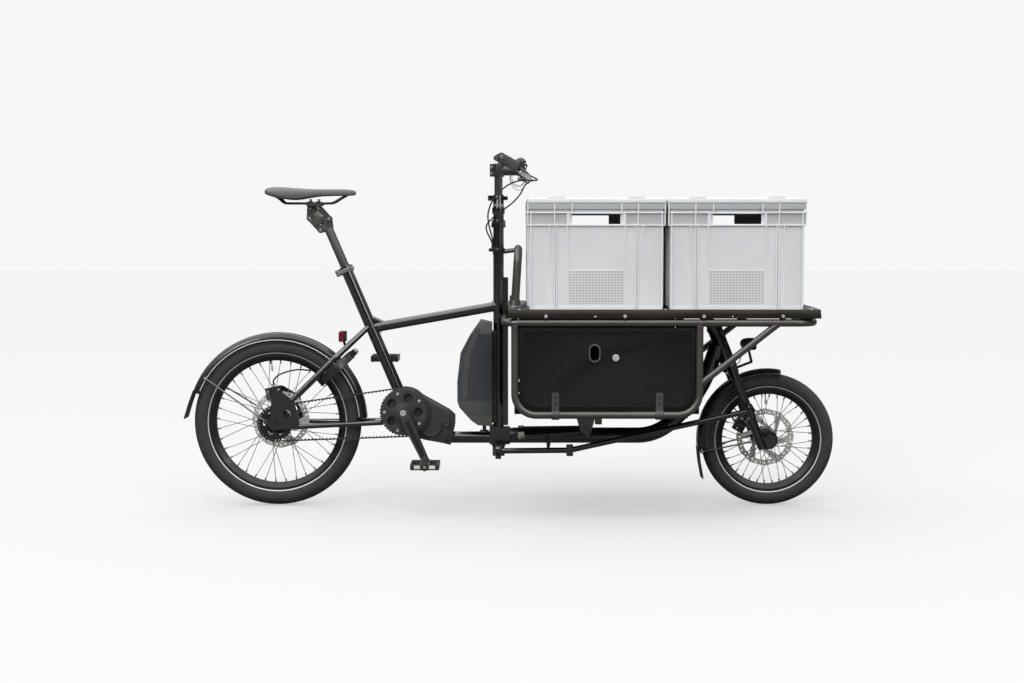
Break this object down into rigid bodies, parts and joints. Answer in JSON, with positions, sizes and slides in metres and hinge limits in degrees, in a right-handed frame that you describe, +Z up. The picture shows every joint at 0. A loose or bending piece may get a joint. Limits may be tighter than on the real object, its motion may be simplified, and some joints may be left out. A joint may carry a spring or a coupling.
{
  "type": "cargo bicycle",
  "caption": "Electric long-john style cargo bicycle: low boom, tie-rod steered small front wheel, deck rack with side lockers and stacking boxes, belt drive, sprung seat post.",
  "frame": {"origin": "centre of the bounding box, on the ground", "axes": "+X forward, +Y to the rider's left, +Z up"},
  "size_m": [2.005, 0.628, 1.0739],
  "materials": {
    "gloss_black_paint": "gloss",
    "dark_aluminium": "anodised",
    "dark_grey_plastic": "matte",
    "rubber": "matte",
    "black_plastic": "gloss",
    "red_lens": "gloss",
    "deck_panel": "coated",
    "edge_profile": "satin",
    "satin_black_paint": "satin",
    "silver_aluminium": "polished",
    "tyre": "matte",
    "steel": "brushed",
    "saddle_cover": "matte",
    "hatch_panel": "matte",
    "box_plastic": "matte"
  },
  "bodies": {
    "frame": {"seat_tube": "gloss_black_paint", "top_tube": "gloss_black_paint", "rear_triangle": "gloss_black_paint", "motor_unit": "dark_aluminium", "boom": "gloss_black_paint", "head_tube": "gloss_black_paint", "mast": "gloss_black_paint", "battery": "dark_grey_plastic", "belt": "rubber", "rear_fender": "black_plastic", "tail_lamp": "red_lens", "rear_caliper": "dark_aluminium", "ring_lock": "black_plastic", "deck_board": "deck_panel", "deck_edging": "edge_profile", "rack_frame": "satin_black_paint", "side_hoops": "satin_black_paint", "locker_shell": "satin_black_paint", "guard_hoop": "satin_black_paint"},
    "steering": {"steer_column": "gloss_black_paint", "control_cables": "rubber"},
    "mast_lever": {"mast_lever": "silver_aluminium"},
    "bar": {"bar_post": "silver_aluminium", "handlebar": "dark_aluminium", "grips": "rubber", "bar_controls": "silver_aluminium"},
    "lever_right": {"brake_lever_right": "silver_aluminium"},
    "lever_left": {"brake_lever_left": "silver_aluminium"},
    "tie_rod": {"tie_rod": "gloss_black_paint"},
    "fork": {"fork": "gloss_black_paint", "front_fender": "black_plastic", "headlamp": "black_plastic", "front_caliper": "dark_aluminium"},
    "front_wheel": {"front_tyre": "tyre", "front_rim": "dark_aluminium", "front_spokes": "steel", "front_hub": "steel"},
    "rear_wheel": {"rear_tyre": "tyre", "rear_rim": "dark_aluminium", "rear_spokes": "steel", "rear_hub": "steel"},
    "rear_sprocket": {"rear_sprocket": "steel"},
    "crank": {"crankset": "dark_aluminium"},
    "pedal_right": {"pedal_right": "dark_aluminium"},
    "pedal_left": {"pedal_left": "dark_aluminium"},
    "post": {"seatpost": "dark_aluminium"},
    "seat_lever": {"seat_lever": "silver_aluminium"},
    "link_front": {"link_front": "dark_aluminium"},
    "link_rear": {"link_rear": "dark_aluminium"},
    "saddle": {"saddle": "saddle_cover"},
    "hatch_right": {"hatch_right": "hatch_panel"},
    "hatch_left": {"hatch_left": "hatch_panel"},
    "lock_right": {"lock_right": "silver_aluminium"},
    "lock_left": {"lock_left": "silver_aluminium"},
    "stand": {"stand": "gloss_black_paint"},
    "ring_bolt": {"ring_bolt": "steel"},
    "box_rear": {"box_rear": "box_plastic"},
    "box_front": {"box_front": "box_plastic"},
    "lid_rear": {"lid_rear": "box_plastic"},
    "lid_front": {"lid_front": "box_plastic"}
  },
  "joints": [
    {"name": "steer", "type": "hinge", "parent": "frame", "child": "steering", "pos_m": [-0.033, 0, 0.871], "axis": [0, 0, 1], "range_deg": [-28, 28]},
    {"name": "fork_turn", "type": "hinge", "parent": "frame", "child": "fork", "pos_m": [0.63448, 0, 0.544], "axis": [-0.3665, 0, 0.9304], "range_deg": [-28, 28]},
    {"name": "rod_swing", "type": "hinge", "parent": "steering", "child": "tie_rod", "pos_m": [-0.033, -0.128, 0.183], "axis": [0, 0.0614, 0.9981], "range_deg": [-28, 28]},
    {"name": "bar_height", "type": "slide", "parent": "steering", "child": "bar", "axis": [0, 0, 1], "range_m": [-0.04, 0.06], "deforming": ["control_cables"]},
    {"name": "mast_lever_turn", "type": "hinge", "parent": "steering", "child": "mast_lever", "pos_m": [-0.0583, 0.0213, 0.947], "axis": [0, 0, 1], "range_deg": [0, 150]},
    {"name": "brake_right", "type": "hinge", "parent": "bar", "child": "lever_right", "pos_m": [0.05047, -0.17171, 1.01198], "axis": [-0.6362, 0.0946, -0.7657], "range_deg": [0, 16], "stiffness_Nm_per_rad": 1.5, "springref_deg": -11.46},
    {"name": "brake_left", "type": "hinge", "parent": "bar", "child": "lever_left", "pos_m": [0.05047, 0.17171, 1.01198], "axis": [0.6362, 0.0946, 0.7657], "range_deg": [0, 16], "stiffness_Nm_per_rad": 1.5, "springref_deg": -11.46},
    {"name": "front_wheel_spin", "type": "hinge", "parent": "fork", "child": "front_wheel", "pos_m": [0.7985, 0, 0.204], "axis": [0, 1, 0], "continuous": true},
    {"name": "rear_wheel_spin", "type": "hinge", "parent": "frame", "child": "rear_wheel", "pos_m": [-0.7155, 0, 0.258], "axis": [0, 1, 0], "continuous": true},
    {"name": "crank_spin", "type": "hinge", "parent": "frame", "child": "crank", "pos_m": [-0.323, 0, 0.293], "axis": [0, 1, 0], "continuous": true},
    {"name": "rear_sprocket_spin", "type": "hinge", "parent": "frame", "child": "rear_sprocket", "pos_m": [-0.7155, 0, 0.258], "axis": [0, 1, 0], "continuous": true},
    {"name": "pedal_right_spin", "type": "hinge", "parent": "crank", "child": "pedal_right", "pos_m": [-0.25322, -0.14, 0.14128], "axis": [0, 1, 0], "continuous": true},
    {"name": "pedal_left_spin", "type": "hinge", "parent": "crank", "child": "pedal_left", "pos_m": [-0.39278, 0.14, 0.44472], "axis": [0, 1, 0], "continuous": true},
    {"name": "seatpost_height", "type": "slide", "parent": "frame", "child": "post", "axis": [-0.3923, 0, 0.9198], "range_m": [-0.1, 0.05]},
    {"name": "seat_lever_turn", "type": "hinge", "parent": "frame", "child": "seat_lever", "pos_m": [-0.5259, -0.02695, 0.71611], "axis": [0.3923, 0, -0.9198], "range_deg": [0, 150]},
    {"name": "link_front_swing", "type": "hinge", "parent": "post", "child": "link_front", "pos_m": [-0.55286, 0, 0.8837], "axis": [0, -1, 0], "range_deg": [0, 25], "stiffness_Nm_per_rad": 250, "springref_deg": -5.73},
    {"name": "link_rear_swing", "type": "hinge", "parent": "post", "child": "link_rear", "pos_m": [-0.57886, 0, 0.8487], "axis": [0, -1, 0], "range_deg": [0, 25]},
    {"name": "saddle_tilt", "type": "hinge", "parent": "link_front", "child": "saddle", "pos_m": [-0.58671, 0, 0.92051], "axis": [0, -1, 0], "range_deg": [-25, 0]},
    {"name": "hatch_right_open", "type": "hinge", "parent": "frame", "child": "hatch_right", "pos_m": [0.2855, -0.3, 0.311], "axis": [1, 0, 0], "range_deg": [0, 90]},
    {"name": "hatch_left_open", "type": "hinge", "parent": "frame", "child": "hatch_left", "pos_m": [0.2855, 0.3, 0.311], "axis": [-1, 0, 0], "range_deg": [0, 90]},
    {"name": "lock_right_turn", "type": "hinge", "parent": "hatch_right", "child": "lock_right", "pos_m": [0.31, -0.3, 0.479], "axis": [0, 1, 0], "range_deg": [0, 90]},
    {"name": "lock_left_turn", "type": "hinge", "parent": "hatch_left", "child": "lock_left", "pos_m": [0.31, 0.3, 0.479], "axis": [0, -1, 0], "range_deg": [0, 90]},
    {"name": "stand_fold", "type": "hinge", "parent": "frame", "child": "stand", "pos_m": [0.235, 0, 0.232], "axis": [0, -1, 0], "range_deg": [0, 95]},
    {"name": "ring_bolt_turn", "type": "hinge", "parent": "frame", "child": "ring_bolt", "pos_m": [-0.53845, 0, 0.41854], "axis": [-0.6717, 0, 0.7408], "range_deg": [0, 75]},
    {"name": "box_rear_slide", "type": "slide", "parent": "frame", "child": "box_rear", "axis": [0, -1, 0], "range_m": [0, 0.62]},
    {"name": "box_front_slide", "type": "slide", "parent": "frame", "child": "box_front", "axis": [0, -1, 0], "range_m": [0, 0.62]},
    {"name": "lid_rear_lift", "type": "slide", "parent": "box_rear", "child": "lid_rear", "axis": [0, 0, 1], "range_m": [0, 0.04]},
    {"name": "lid_front_lift", "type": "slide", "parent": "box_front", "child": "lid_front", "axis": [0, 0, 1], "range_m": [0, 0.04]}
  ],
  "couplings": [
    {"joint": "fork_turn", "follows": "steer", "ratio": 1},
    {"joint": "rod_swing", "follows": "steer", "ratio": -1},
    {"joint": "rear_sprocket_spin", "follows": "crank_spin", "ratio": 1.4},
    {"joint": "link_rear_swing", "follows": "link_front_swing", "ratio": 1},
    {"joint": "saddle_tilt", "follows": "link_front_swing", "ratio": -1}
  ]
}
